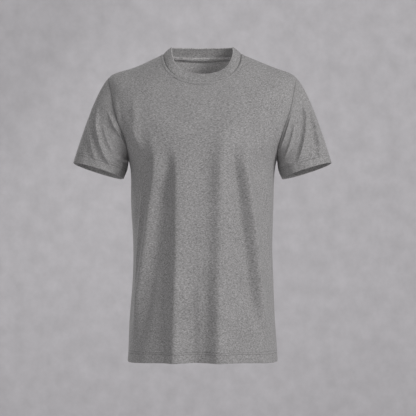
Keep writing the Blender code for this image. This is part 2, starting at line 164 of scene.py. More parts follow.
# The sleeve, as on the wearer's left. The lengths of its curves' handles are shares of the way
# from the armhole to the cuff, and the last four say which way those curves leave.
CUFF_CENTRE = (0.2345, -0.006, -0.2635)
CUFF_HALF_WIDTH = 0.0581
CUFF_HALF_DEPTH = 0.0600
CUFF_BACK_DROP = 0.0052
CUFF_SQUARE = 0.10
ARM_LEAN = math.radians(17.3)
CAP_START, CAP_END = 0.165, 0.46
CAP_OUT = 0.29
CAP_ROUND = 0.25
UNDERARM_OUT = 0.45
SHOULDER_SLOPE = (1, 0, 0.35)

# Folds of the sleeves, each along a line from (turn, along) to (turn, along). Turn is in
# degrees from 0 on the outer edge through 90 in front to 180 at the underarm, and along runs
# from 0 at the armhole to 1 at the cuff. low and high are its reach, in metres, to the sides
# of lower and of higher turn.
SleeveFold = namedtuple("SleeveFold", "side turn_1 along_1 turn_2 along_2 low high height")
LEFT, RIGHT = 1, -1
TURN_LENGTH, SLEEVE_LENGTH = 0.00101, 0.170  # metres for 1 degree, and for the whole length
SLEEVE_RADIUS, SLEEVE_RUN = 0.058, 0.16  # of a plain tube like it, to space its grid
FOLD_RISE, FOLD_REACH = 1.72, 0.88  # what every sleeve fold's height and reach is scaled by
SLEEVE_FOLDS = (
    SleeveFold(RIGHT, 40, 0.40, 118, 0.90, 0.0060, 0.0056, 0.0056),
    SleeveFold(RIGHT, 12, 0.46, 96, 0.96, 0.0060, 0.0090, 0.0022),
    SleeveFold(RIGHT, 6, 0.48, 84, 1.00, 0.0110, 0.0060, -0.0010),
    SleeveFold(RIGHT, 66, 0.24, 128, 0.13, 0.0060, 0.0048, 0.0034),
    SleeveFold(RIGHT, 66, 0.42, 116, 0.64, 0.0060, 0.0060, 0.0014),
    SleeveFold(RIGHT, 120, 0.70, 165, 0.30, 0.0060, 0.0060, 0.0030),
    SleeveFold(RIGHT, 180, -0.30, 182, 1.05, 0.0300, 0.0300, 0.0033),
    SleeveFold(RIGHT, 140, 0.95, 150, 0.55, 0.0060, 0.0060, 0.0020),
    SleeveFold(RIGHT, 285, 0.15, 255, 0.95, 0.012, 0.015, 0.0055),
    SleeveFold(RIGHT, 262, 0.10, 226, 0.70, 0.008, 0.009, 0.0036),
    SleeveFold(RIGHT, 322, 0.35, 300, 1.05, 0.012, 0.012, 0.0030),
    SleeveFold(LEFT, 42, 0.28, 108, 0.86, 0.0085, 0.0052, 0.0058),
    SleeveFold(LEFT, 38, 0.44, 64, 0.98, 0.0100, 0.0042, 0.0056),
    SleeveFold(LEFT, 78, 0.08, 130, 0.24, 0.0050, 0.0036, 0.0028),
    SleeveFold(LEFT, 76, 0.26, 134, 0.60, 0.0065, 0.0055, 0.0026),
    SleeveFold(LEFT, 112, 0.90, 160, 0.45, 0.0075, 0.0085, 0.0012),
    SleeveFold(LEFT, 180, -0.30, 182, 1.05, 0.0300, 0.0300, 0.0026),
    SleeveFold(LEFT, 275, 0.15, 258, 0.95, 0.014, 0.014, 0.0055),
    SleeveFold(LEFT, 248, 0.10, 224, 0.75, 0.008, 0.009, 0.0036),
    SleeveFold(LEFT, 316, 0.40, 324, 1.05, 0.012, 0.012, 0.0030),
)

# How far the neck rib leans in from upright, and how far it bellies out
BAND_LEAN_SIDE = math.radians(49)
BAND_LEAN_FRONT = math.radians(39.5)
BAND_LEAN_BACK = math.radians(28)
BAND_CROWN = 0.0008

# How deep the cloth rolls down to each seam, and from how far away
Roll = namedtuple("Roll", "depth reach")
SIDE_ROLL = Roll(0.0008, 0.0030)
ARMHOLE_ROLL = Roll(0.0005, 0.0032)
SHOULDER_ROLL = Roll(0.0005, 0.0028)
NECK_ROLL = Roll(0.0011, 0.0034)
BAND_ROLL = Roll(0.0009, 0.0034)
SLEEVE_ROLLS = {LEFT: Roll(0.0003, 0.0032), RIGHT: Roll(0.0006, 0.0032)}
UNDERARM_ROLL = Roll(0.0008, 0.0030)

HALF_TURN = math.pi
QUARTER_TURN = math.pi / 2
BODY_RADIUS, BAND_RADIUS, TAPE_RADIUS = 0.145, 0.080, 0.07  # to lay the knit round each
PANEL_REACH = 0.25  # about half a panel's width, to space its columns
STEP = 0.012  # between the two points that give a slope


# Curves and slopes
def unit(vectors):
    return vectors / np.linalg.norm(vectors, axis=-1, keepdims=True)


def smooth(share):
    """3 s squared - 2 s cubed, held at 0 and 1 outside them."""
    share = np.clip(share, 0, 1)
    return share * share * (3 - 2 * share)


def natural_spline(knots, values, at):
    """A cubic through every value whose curvature is continuous, and 0 at its two ends."""
    gaps = np.diff(knots)
    matrix = np.eye(len(knots))
    right = np.zeros_like(values)
    slopes = np.diff(values, axis=0) / gaps[:, None]
    for i in range(1, len(gaps)):
        matrix[i, i - 1 : i + 2] = gaps[i - 1], 2 * (gaps[i - 1] + gaps[i]), gaps[i]
        right[i] = 6 * (slopes[i] - slopes[i - 1])
    bends = np.linalg.solve(matrix, right)
    i = np.clip(np.searchsorted(knots, at, side="right") - 1, 0, len(gaps) - 1)
    gap = gaps[i][..., None]
    b = (at - knots[i])[..., None] / gap
    a = 1 - b
    return (
        a * values[i]
        + b * values[i + 1]
        + ((a**3 - a) * bends[i] + (b**3 - b) * bends[i + 1]) * gap**2 / 6
    )


def normals_of(surface, u, v, v_step, u_step=STEP):
    """Unit normals of surface(u, v): the cross product of its slopes both ways."""
    along_u = surface(u + u_step, v) - surface(u - u_step, v)
    along_v = surface(u, v + v_step) - surface(u, v - v_step)
    return unit(np.cross(along_u, along_v))


# The body's surface
RING_VALUES = np.array([ring[1:] for ring in RINGS])


def ring_levels():
    """Each ring's distance along the body from the hem: the mean of its side, front and back."""
    half, side_z, front, front_z, back, back_z = RING_VALUES.T[:6]
    ways = ((half, side_z), (front, front_z), (back, back_z))
    steps = sum(np.hypot(np.diff(out), np.diff(up)) for out, up in ways) / len(ways)
    return np.concatenate([[0], np.cumsum(steps)])


LEVELS = ring_levels()
LEVEL_OF = {ring.name: level for ring, level in zip(RINGS, LEVELS)}
UNDERARM, TIP, NECK = (LEVEL_OF[name] for name in ("under arm", "shoulder tip", "neck"))
LEVEL_STEP = 0.0015
CREST = 1.82  # how pinched a fold's crest is: 2 for a bell, less for a sharper one
SLEEVE_CREST = 1.5  # the same, of a sleeve's fold


def fold_height(angle, z):
    """The sum of the folds: each a bell across its own line, of its own width either side."""
    degrees = np.degrees(angle)
    total = np.zeros_like(z)
    for fold in FOLDS:
        share = (fold.top_z - z) / (fold.top_z - fold.foot_z)
        centre = fold.top_angle + (fold.foot_angle - fold.top_angle) * share
        centre = centre + fold.bow * 4 * share * (1 - share)
        off = (degrees - centre + 180) % 360 - 180
        reach = np.where(off < 0, fold.before, fold.after) * (0.75 + 0.35 * share)
        start = smooth((fold.top_z - z) / fold.fade_in)
        end = smooth((z - fold.foot_z) / fold.fade_out)
        total += fold.height * np.exp(-(np.abs(off / reach) ** CREST)) * start * end
    return total


def drag_height(x, z, ahead):
    """The sum of the drags: each a bell across its line, fading to its two ends."""
    total = np.zeros_like(z)
    for drag in DRAGS:
        dx, dz = drag.to_x - drag.from_x, drag.to_z - drag.from_z
        length = math.hypot(dx, dz)
        along = ((x - drag.from_x) * dx + (z - drag.from_z) * dz) / length**2
        off = ((x - drag.from_x) * dz - (z - drag.from_z) * dx) / length
        ends = smooth((along + 0.25) / 0.5) * smooth((1.2 - along) / 0.7)
        facing = smooth(drag.front * ahead * 6 + 0.2)
        total += drag.height * np.exp(-((off / drag.reach) ** 2)) * ends * facing
    return total


def slackness(angle, z):
    """Slow, uneven swells of the loose cloth: three long waves across and down the body."""
    a = np.sin(3 * angle + 9 * z + 0.6) * np.sin(11 * z + 1.1)
    b = np.sin(5 * angle - 14 * z + 2.2) * np.sin(17 * z - 0.4)
    c = np.sin(9 * angle + 21 * z + 4.0) * np.sin(23 * z + 2.0)
    loose = smooth((-0.10 - z) / 0.25)
    return (0.0011 * a + 0.0008 * b + 0.0005 * c) * (0.35 + 0.65 * loose)


def hem_waves(angle, level):
    """Small ripples of the turned hem between its stitching and its edge."""
    near = 1 - smooth(level / 0.030)
    return near * 0.00055 * (np.sin(23 * angle + 0.7) + 0.7 * np.sin(37 * angle + 2.1))


def body_point(angle, level):
    """The outside of the body: a squared ellipse at each level, whose edge climbs from the
    centre front and back to the sides, pushed out by the folds."""
    ring = natural_spline(LEVELS, RING_VALUES, level)
    half, side_z, front, front_z, back, back_z, square, dip = np.moveaxis(ring, -1, 0)
    across, ahead = np.sin(angle), np.cos(angle)
    depth = np.where(ahead >= 0, front, back)
    centre_z = np.where(ahead >= 0, front_z, back_z)
    x = half * across * (1 + square * ahead**2)
    y = -depth * ahead * (1 + SQUARE_DEPTH * across**2)
    z = side_z + (centre_z - side_z) * np.abs(ahead) ** dip
    height = fold_height(angle, z) + drag_height(x, z, ahead)
    height = height + slackness(angle, z) + hem_waves(angle, level)
    out = unit(np.stack([across / half, -ahead / depth, np.zeros_like(half)], axis=-1))
    by_right_shoulder = np.exp(-(((x + 0.145) / 0.040) ** 2)) * smooth((z + 0.12) / 0.06)
    z = z - RIGHT_SHOULDER_DROP * by_right_shoulder
    return np.stack([x, y, z], axis=-1) + out * height[..., None]


def body_normal(angle, level):
    return normals_of(body_point, angle, level, LEVEL_STEP)


# The armhole and the sleeve
def armhole_level(turn):
    """Level of the armhole's edge, turn running from 0 at the shoulder to pi at the underarm."""
    return (UNDERARM + TIP) / 2 + (TIP - UNDERARM) / 2 * np.cos(turn)


def armhole_angle(turn):
    """Angle round the body of the left armhole's edge: an egg about the side."""
    half = np.where(np.sin(turn) >= 0, ARMHOLE_FRONT_HALF, ARMHOLE_BACK_HALF)
    return QUARTER_TURN - half * np.sin(turn) * (1 - ARMHOLE_EGG * np.cos(turn))


def mirror(points, side):
    return points * np.array([side, 1, 1])


def sleeve_fold_height(turn, along, side):
    """The sum of a sleeve's folds: each a bell across its line, fading to its two ends."""
    degrees = np.degrees(turn) % 360
    total = np.zeros_like(along)
    for fold in SLEEVE_FOLDS:
        if fold.side != side:
            continue
        turned = (fold.turn_2 - fold.turn_1) * TURN_LENGTH
        fallen = (fold.along_2 - fold.along_1) * SLEEVE_LENGTH
        length = math.hypot(turned, fallen)
        way = turned / length, fallen / length
        across = ((degrees - fold.turn_1 + 180) % 360 - 180) * TURN_LENGTH
        down = (along - fold.along_1) * SLEEVE_LENGTH
        share = (across * way[0] + down * way[1]) / length
        off = across * abs(way[1]) - down * way[0] * np.sign(way[1])
        reach = FOLD_REACH * np.where(off < 0, fold.low, fold.high)
        ends = smooth(share * 2.6 + 0.15) * smooth((1 - share) * 2.6 + 0.15)
        bell = np.exp(-(np.abs(off / reach) ** SLEEVE_CREST))
        total += FOLD_RISE * fold.height * bell * ends
    ripple = smooth((along - 0.80) / 0.2) * 0.0005
    total += ripple * (np.sin(9 * turn + side) + 0.7 * np.sin(14 * turn + 2 + side))
    return total * smooth(along / 0.06)


def smooth_sleeve(turn, along, side):
    """The sleeve with no folds: from each point of the armhole a Bezier curve leaves on the
    shoulder's slope and comes to the cuff's ring along the arm."""
    cos, sin = np.cos(turn)[..., None], np.sin(turn)[..., None]
    down = np.array([math.sin(ARM_LEAN), 0, -math.cos(ARM_LEAN)])
    outer = np.array([math.cos(ARM_LEAN), 0, math.sin(ARM_LEAN)])
    ahead = np.array([0, -1, CUFF_BACK_DROP / CUFF_HALF_DEPTH])
    start = mirror(body_point(side * armhole_angle(turn), armhole_level(turn)), side)
    end = (
        CUFF_CENTRE
        + CUFF_HALF_WIDTH * cos * (1 + CUFF_SQUARE * sin**2) * outer
        + CUFF_HALF_DEPTH * sin * (1 + 0.3 * CUFF_SQUARE * cos**2) * ahead
    )
    seam_out = mirror(body_normal(side * armhole_angle(turn), armhole_level(turn)), side)
    leave = unit(
        down
        + CAP_OUT * ((1 + cos) / 2) ** 2 * np.array(SHOULDER_SLOPE)
        + CAP_ROUND * (np.maximum(cos, 0) * outer + sin * ahead)
        + UNDERARM_OUT * (1 - cos) / 2 * seam_out
    )
    chord = np.linalg.norm(end - start, axis=-1, keepdims=True)
    start = start + 1.6 * SEAM_GAP * unit(leave + seam_out)
    near, far = start + CAP_START * chord * leave, end - CAP_END * chord * down
    t = along[..., None]
    points = (
        start * (1 - t) ** 3
        + near * 3 * t * (1 - t) ** 2
        + far * 3 * t**2 * (1 - t)
        + end * t**3
    )
    return mirror(points, side)


def sleeve_surface(side):
    """The sleeve with its folds, as a function of turn and along."""

    def base(turn, along):
        return smooth_sleeve(turn, along, side)

    def folded(turn, along):
        out = side * normals_of(base, turn, along, STEP)
        return base(turn, along) + out * sleeve_fold_height(turn, along, side)[..., None]

    return folded


def sleeve_normal(turn, along, side):
    return side * normals_of(sleeve_surface(side), turn, along, STEP)


# The neck rib
def band_lean(angle):
    """How far the rib leans in at this angle round the neck."""
    ahead = np.cos(angle)
    centre = np.where(ahead >= 0, BAND_LEAN_FRONT, BAND_LEAN_BACK)
    share = np.where(ahead >= 0, smooth(ahead / 0.55), np.abs(ahead) ** 1.4)
    return BAND_LEAN_SIDE + (centre - BAND_LEAN_SIDE) * share


def band_point(angle, up):
    """The rib's outside: it leaves the neck seam, leans in over the wearer's neck and
    bellies out a little. up runs from 0 at the seam to 1 at the fold."""
    foot = body_point(angle, np.full_like(angle, NECK))
    ahead = body_point(angle + STEP, np.full_like(angle, NECK))
    behind = body_point(angle - STEP, np.full_like(angle, NECK))
    along = unit((ahead - behind) * np.array([1, 1, 0]))
    inward = np.cross(np.array([0, 0, 1.0]), along)
    lean = band_lean(angle)[..., None]
    rise = np.cos(lean) * np.array([0, 0, 1.0]) + np.sin(lean) * inward
    out = np.sin(lean) * np.array([0, 0, 1.0]) - np.cos(lean) * inward
    belly = BAND_CROWN * 4 * (up * (1 - up))[..., None]
    reach = SEAM_GAP + BAND_WIDTH * up[..., None]
    return foot + rise * reach + out * belly


def band_normal(angle, up):
    return normals_of(band_point, angle, up, STEP)


# Meshes
def wall_faces(rows, columns, closed):
    """Quads of the closed skin of a wall between two grids of rows by columns."""
    index = np.arange(rows * columns).reshape(rows, columns)
    if closed:
        index = np.hstack([index, index[:, :1]])
    inside = index + rows * columns

    def skin(grid):
        return np.stack(
            [grid[:-1, :-1], grid[:-1, 1:], grid[1:, 1:], grid[1:, :-1]], -1
        ).reshape(-1, 4)

    def rim(top, under):
        return np.stack([top[:-1], under[:-1], under[1:], top[1:]], -1)

    faces = [skin(index), skin(inside)[:, ::-1]]
    faces += [rim(index[0], inside[0]), rim(index[-1, ::-1], inside[-1, ::-1])]
    if not closed:
        faces += [rim(index[::-1, 0], inside[::-1, 0]), rim(index[:, -1], inside[:, -1])]
    return np.concatenate(faces)


def volume_of(points, faces):
    """Six times the volume inside the quads, below 0 where they face in."""
    a, b, c, d = (points[faces[:, i]] for i in range(4))
    return (np.cross(b - a, c - a) * a).sum() + (np.cross(c - a, d - a) * a).sum()


def add_mesh(name, points, faces, material, uv=None, painted_light=None):
    """A smooth-shaded object at the origin from arrays of points and quads, facing out."""
    if volume_of(points, faces) < 0:
        faces = faces[:, ::-1]
    mesh = bpy.data.meshes.new(name)
    mesh.vertices.add(len(points))
    mesh.vertices.foreach_set("co", points.astype(np.float32).ravel())
    mesh.loops.add(faces.size)
    mesh.loops.foreach_set("vertex_index", faces.astype(np.int32).ravel())
    mesh.polygons.add(len(faces))
    mesh.polygons.foreach_set("loop_start", np.arange(0, faces.size, 4, dtype=np.int32))
    if uv is not None:
        layer = mesh.uv_layers.new(name="cloth")
        layer.data.foreach_set("uv", uv[faces.ravel()].astype(np.float32).ravel())
    # painted light: each point's share of colour painted paler for light
    if painted_light is not None:
        layer = mesh.attributes.new("painted_light", "FLOAT", "POINT")
        layer.data.foreach_set("value", painted_light.astype(np.float32))
    mesh.update(calc_edges=True)
    mesh.validate()
    mesh.shade_smooth()
    mesh.materials.append(material)
    piece = bpy.data.objects.new(name, mesh)
    bpy.context.scene.collection.objects.link(piece)
    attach(piece, "root")
    return piece


def add_wall(
    name, points, ways, sink, thickness, half, material, uv, closed=False, painted_light_shares=(0.0, 1.0)
):
    """A closed wall on a grid of points with their ways out. Its middle lies the sink and half
    the thickness inside them, and its skins lie half to either side of that. uv holds the
    cloth's own run across and down, in metres. The last argument gives the shares of painted
    light on the outside and the inside: colour painted paler in place of light shining through
    and into the cloth."""
    middle = points - ways * (sink + thickness / 2)[..., None]
    outer, inner = middle + ways * half[..., None], middle - ways * half[..., None]
    rows, columns = outer.shape[:2]
    points = np.concatenate([outer.reshape(-1, 3), inner.reshape(-1, 3)])
    flat = np.concatenate([uv.reshape(-1, 2), uv.reshape(-1, 2)])
    painted_light = np.concatenate([np.broadcast_to(part, (rows, columns)).ravel() for part in painted_light_shares])
    faces = wall_faces(rows, columns, closed)
    return add_mesh(name, points, faces, material, flat, painted_light)


def roll(distance, seam):
    """How far the cloth has rolled down to a seam at this distance from it."""
    return seam.depth * np.clip(1 - distance / seam.reach, 0, 1) ** 2


def groove(distance, depth, reach):
    """A soft channel about distance 0."""
    return depth * np.exp(-((distance / reach) ** 2))


def twin_groove(distance, stitch):
    """The two channels under a twin needle's rows, the lower one at stitch."""
    lower = groove(distance - stitch, 0.0007, CHANNEL_REACH)
    return lower + groove(distance - stitch - TWIN, 0.0006, CHANNEL_REACH)


EDGE_STEPS = np.array([0.0, 0.0004, 0.0009, 0.0016, 0.0025, 0.0036])


def spread(start, end, count, crowd_start=True, crowd_end=True):
    """Places from start to end in metres, crowded at seams and even between."""
    first = EDGE_STEPS if crowd_start else EDGE_STEPS[:1]
    last = EDGE_STEPS if crowd_end else EDGE_STEPS[:1]
    middle = np.linspace(start + first[-1], end - last[-1], count)[1:-1]
    return np.concatenate([start + first, middle, (end - last)[::-1]])


def distance_to(points, line):
    """Distance from every point of a grid to a line of many short straight pieces."""
    start, way = line[:-1], np.diff(line, axis=0)
    squares = np.maximum((way**2).sum(axis=-1), 1e-14)

    def of_row(row):
        from_start = row[:, None] - start
        share = np.clip((from_start * way).sum(axis=-1) / squares, 0, 1)
        return np.linalg.norm(from_start - share[..., None] * way, axis=-1).min(axis=1)

    return np.stack([of_row(row) for row in points])


def rounded_edge(distance, thickness):
    """Half the thickness of a wall, rounded off at an edge this far away."""
    reach = thickness / 2
    share = np.clip(1 - distance / reach, 0, 1)
    return reach * np.maximum(np.sqrt(1 - share**2), 0.3)


def turned_edge(distance, stitch):
    """Thickness of cloth this far above its turned edge, and half that rounded off at the
    edge: two layers to just above the twin needle's rows, then one."""
    turned = smooth((stitch + TWIN + 0.0012 - distance) / 0.0012)
    thickness = WALL + (HEM_WALL - WALL) * turned
    return thickness, np.minimum(rounded_edge(distance, HEM_WALL), thickness / 2)


# The front and the back
def panel_rows():
    """Levels of a panel's rows: close at the hem's edge and stitching and at the neck."""
    hem = np.concatenate(
        [
            [0, 0.0004, 0.001, 0.0019, 0.003],
            np.arange(0.0045, 0.0170, 0.0015),
            np.arange(0.0174, 0.0262, 0.0006),
            [0.0272, 0.029],
        ]
    )
    lower = np.arange(0.0315, UNDERARM - 0.0015, 0.0031)
    armhole = armhole_level(np.linspace(HALF_TURN, 0, 78))
    shoulder = np.linspace(TIP, NECK - 0.013, 26)[1:-1]
    below = [130, 117, 106, 96, 88, 81, 75, 69, 63, 57, 50, 42, 33, 24, 16, 10, 5, 0]
    neck = NECK - np.array(below) / 1e4
    return np.concatenate([hem, lower, armhole, shoulder, neck])


def panel_half_angles(levels, centre):
    """How far a panel reaches round the body from its centre at each level, to the side seam,
    the armhole or the shoulder seam."""
    ring = natural_spline(LEVELS, RING_VALUES, levels)
    seam = QUARTER_TURN - SEAM_GAP / 2 / (ring[:, 2] if centre == 0 else ring[:, 4])
    between = (2 * levels - UNDERARM - TIP) / (TIP - UNDERARM)
    turn = np.arccos(np.clip(between, -1, 1))
    if centre == 0:
        armhole = armhole_angle(turn)
    else:
        armhole = HALF_TURN - armhole_angle(-turn)
    return np.minimum(seam, armhole)


def body_panel(name, centre, material):
    """The front (centre 0) or the back (centre pi). Its outside is body_point less what the
    cloth rolls into each seam and sinks under the stitching; a hem of two layers is rounded
    off at its edge, and ends inside in a step."""
    rows = panel_rows()
    across = spread(-PANEL_REACH, PANEL_REACH, 158) / PANEL_REACH
    levels = np.repeat(rows[:, None], len(across), axis=1)
    angles = centre + panel_half_angles(rows, centre)[:, None] * across
    points = body_point(angles, levels)
    ways = body_normal(angles, levels)
    low = rows <= UNDERARM + 1e-6
    mid = (rows >= UNDERARM - 1e-6) & (rows <= TIP + 1e-6)
    top = rows >= TIP - 1e-6
    sink = np.zeros_like(levels)
    for column in (0, -1):
        for part, seam in ((low, SIDE_ROLL), (mid, ARMHOLE_ROLL), (top, SHOULDER_ROLL)):
            away = distance_to(points, points[part, column])
            sink = np.maximum(sink, roll(away, seam))
    from_neck = distance_to(points, points[-1])
    sink = np.maximum(sink, roll(from_neck, NECK_ROLL))
    bead = smooth(from_neck / 0.0016) * smooth((NECK_STITCH - 0.0002 - from_neck) / 0.0012)
    sink += groove(from_neck - NECK_STITCH, 0.0006, 0.0010) - 0.0008 * bead
    sink += twin_groove(levels, HEM_STITCH)
    thickness, half = turned_edge(levels, HEM_STITCH)
    uv = np.stack([angles * BODY_RADIUS, levels], axis=-1)
    return add_wall(name, points, ways, sink, thickness, half, material, uv)


# The sleeves
def cuff_along(turn, distance, side):
    """The place along the sleeve this far above the cuff's edge."""
    surface = sleeve_surface(side)
    edge = surface(turn, np.ones_like(turn))
    along = 1 - distance / SLEEVE_RUN
    for _ in range(4):
        measured = np.linalg.norm(surface(turn, along) - edge, axis=-1)
        along = 1 - (1 - along) * distance / measured
    return along


def sleeve_piece(name, side, material):
    """A tube from the armhole to the cuff, as sleeve_surface(turn, along), rolled into the
    armhole's seam and its own seam under the arm, with a turned and stitched cuff."""
    girth = 2 * HALF_TURN * SLEEVE_RADIUS
    turn = spread(-girth / 2, girth / 2, 178)[:-1] / girth * 2 * HALF_TURN
    down = np.concatenate(
        [
            np.arange(0.0300, 0.0246, -0.0015),
            np.arange(0.0240, 0.0160, -0.0006),
            np.arange(0.0152, 0.0040, -0.0016),
            [0.003, 0.0019, 0.001, 0.0004, 0.0],
        ]
    )
    upper = spread(0, SLEEVE_RUN, 58, crowd_end=False)[:-1] / SLEEVE_RUN
    cuff_top = cuff_along(turn, np.full_like(turn, down[0]), side)
    rows = [cuff_top * share for share in upper]
    rows += [cuff_along(turn, np.full_like(turn, s), side) for s in down[:-1]]
    alongs = np.stack(rows + [np.ones_like(turn)])
    from_edge = np.concatenate([np.full(len(upper), 1.0), down])[:, None] + 0 * alongs
    turns = np.repeat(turn[None], len(alongs), axis=0)
    points = sleeve_surface(side)(turns, alongs)
    ways = sleeve_normal(turns, alongs, side)
    ring = np.vstack([points[0], points[:1, 0]])
    sink = roll(distance_to(points, ring), SLEEVE_ROLLS[side])
    sink = np.maximum(sink, roll(distance_to(points, points[:, 0]), UNDERARM_ROLL))
    sink += twin_groove(from_edge, CUFF_STITCH)
    thickness, half = turned_edge(from_edge, CUFF_STITCH)
    uv = np.stack([turns * SLEEVE_RADIUS + side, alongs * SLEEVE_LENGTH], axis=-1)
    painted_light_shares = (0.0, 0.25)  # the sleeves' insides take little painted light: they lie in shade
    return add_wall(name, points, ways, sink, thickness, half, material, uv, True, painted_light_shares)


# The neck
def neckband(material):
    """The rib, folded in two: a ring of band_point(angle, up), rounded at its fold and sunk
    where it leaves the seam."""
    angle = np.linspace(0, 2 * HALF_TURN, 721)[:-1]
    fold = [0.90, 0.93, 0.955, 0.975, 0.99, 1.0]
    ups = np.concatenate([EDGE_STEPS / BAND_WIDTH, np.linspace(0.21, 0.86, 13), fold])
    angles, levels = np.meshgrid(angle, ups)
    points = band_point(angles, levels)
    ways = band_normal(angles, levels)
    sink = roll(levels * BAND_WIDTH, BAND_ROLL)
    half = rounded_edge((1 - levels) * BAND_WIDTH, BAND_WALL)
    uv = np.stack([angles * BAND_RADIUS, levels * BAND_WIDTH], axis=-1)
    painted_fold_highlight = 1.6 * smooth((levels - 0.94) / 0.035)  # painted highlight along the rib's rolled fold, where light catches it
    # the rib's inside takes painted light through the cloth, and the same painted highlight
    painted_light_shares = (painted_fold_highlight, np.maximum(0.9, painted_fold_highlight))
    return add_wall(
        "neckband_rib", points, ways, sink, BAND_WALL, half, material, uv, True, painted_light_shares
    )


def neck_level(angle, distance):
    """The level this far below the neck seam."""
    edge = body_point(angle, np.full_like(angle, NECK))
    level = NECK - distance
    for _ in range(6):
        measured = np.linalg.norm(body_point(angle, level) - edge, axis=-1)
        level = NECK - (NECK - level) * distance / measured
    return level


def neck_tape(material):
    """The tape inside the back neck, from shoulder to shoulder: a strip from just above the
    neck seam down the cloth, rounded at both its long edges and pressed in at its stitching."""
    reach = panel_half_angles(np.array([NECK]), HALF_TURN)[0] - TAPE_SHORT
    angle = HALF_TURN + np.linspace(-reach, reach, 260)
    ends = np.array([0.0, 0.0003, 0.0007, 0.0012])
    between = np.linspace(0.002, TAPE_WIDTH - 0.002, 24)
    downs = np.concatenate([ends, between, TAPE_WIDTH - ends[::-1]])
    angles = np.repeat(angle[None], len(downs), axis=0)
    rows = []
    for down in downs - TAPE_LAP:
        if down < 0:
            up = np.full_like(angle, -down / BAND_WIDTH)
            rows.append((band_point(angle, up), band_normal(angle, up)))
        else:
            level = neck_level(angle, np.full_like(angle, down + 1e-5))
            rows.append((body_point(angle, level), body_normal(angle, level)))
    points = np.stack([row[0] for row in rows])
    ways = np.stack([row[1] for row in rows])
    ways[1:-1] = unit(ways[:-2] + 2 * ways[1:-1] + ways[2:])
    away = np.minimum(downs, TAPE_WIDTH - downs)[:, None]
    half = rounded_edge(away, TAPE_WALL)
    crown = TAPE_CROWN * 4 * (downs / TAPE_WIDTH * (1 - downs / TAPE_WIDTH))[:, None]
    crown = crown - groove(downs[:, None] - TAPE_LAP - TAPE_STITCH, 0.0005, CHANNEL_REACH)
    crown = crown + TAPE_RISE * (1 - smooth((downs[:, None] - 0.004) / 0.006))
    sink = TAPE_DEPTH + crown
    uv = np.stack([angles * TAPE_RADIUS, np.repeat(downs[:, None], len(angle), axis=1)], axis=-1)
    return add_wall("neck_tape_strip", points, ways, sink, TAPE_WALL, half, material, uv)


# Stitches. Each has rings of thread at these shares of its length, this wide and this far out,
# the last two in threads.
STITCH_RINGS = ((-0.5, 0.45, -0.6), (-0.34, 1.0, -0.05), (0.34, 1.0, -0.05), (0.5, 0.45, -0.6))
SIDES = 6


def stitches(name, rows, material):
    """Short lengths of thread end to end along each row. A row is (points, ways out) of a line;
    each stitch spans one pitch of it, less a small gap, and dips at its two ends."""
    starts, ends, outs = [], [], []
    for points, ways in rows:
        steps = np.linalg.norm(np.diff(points, axis=0), axis=-1)
        run = np.concatenate([[0], np.cumsum(steps)])
        count = max(int(run[-1] / STITCH_PITCH), 2)
        places = np.linspace(0, run[-1], count + 1)
        at = np.stack([np.interp(places, run, points[:, i]) for i in range(3)], axis=-1)
        way = np.stack([np.interp(places, run, ways[:, i]) for i in range(3)], axis=-1)
        starts.append(at[:-1])
        ends.append(at[1:])
        outs.append(unit(way[:-1] + way[1:]))
    starts, ends, outs = (np.concatenate(part) for part in (starts, ends, outs))
    along = unit(ends - starts)
    across = unit(np.cross(along, outs))
    length = np.linalg.norm(ends - starts, axis=-1)[:, None] * 0.88
    middle = (starts + ends) / 2
    turn = np.arange(SIDES) * 2 * HALF_TURN / SIDES
    points = np.stack(
        [
            (middle + along * length * place + outs * THREAD * dip)[:, None]
            + THREAD / 2 * width * np.cos(turn)[None, :, None] * across[:, None]
            + THREAD / 2 * width * np.sin(turn)[None, :, None] * outs[:, None]
            for place, width, dip in STITCH_RINGS
        ],
        axis=1,
    )
    ring = np.arange(SIDES)
    following = (ring + 1) % SIDES
    last = (len(STITCH_RINGS) - 1) * SIDES
    quads = [
        np.stack([low + ring, low + following, low + SIDES + following, low + SIDES + ring], -1)
        for low in range(0, last, SIDES)
    ]
    first_cap, last_cap = [[3, 2, 1, 0], [5, 4, 3, 0]], [[0, 1, 2, 3], [0, 3, 4, 5]]
    one = np.concatenate([*quads, np.array(first_cap), last + np.array(last_cap)])
    each = len(STITCH_RINGS) * SIDES
    faces = (one[None] + np.arange(len(starts))[:, None, None] * each).reshape(-1, 4)
    add_mesh(name, points.reshape(-1, 3), faces, material)


def body_row(angle, level, sunk, way=None):
    """A line on the body for stitches or a ribbon, sunk along the ways out, and those ways."""
    if way is None:
        way = body_normal(angle, level)
    return body_point(angle, level) - way * sunk, way


def sleeve_row(side, distance, sunk):
    """Such a line round a sleeve, this far above the cuff's edge."""
    turn = np.linspace(-HALF_TURN, HALF_TURN, 400)
    along = cuff_along(turn, np.full_like(turn, distance), side)
    way = sleeve_normal(turn, along, side)
    return sleeve_surface(side)(turn, along) - way * sunk, way


RIBBON_SIDES = 12


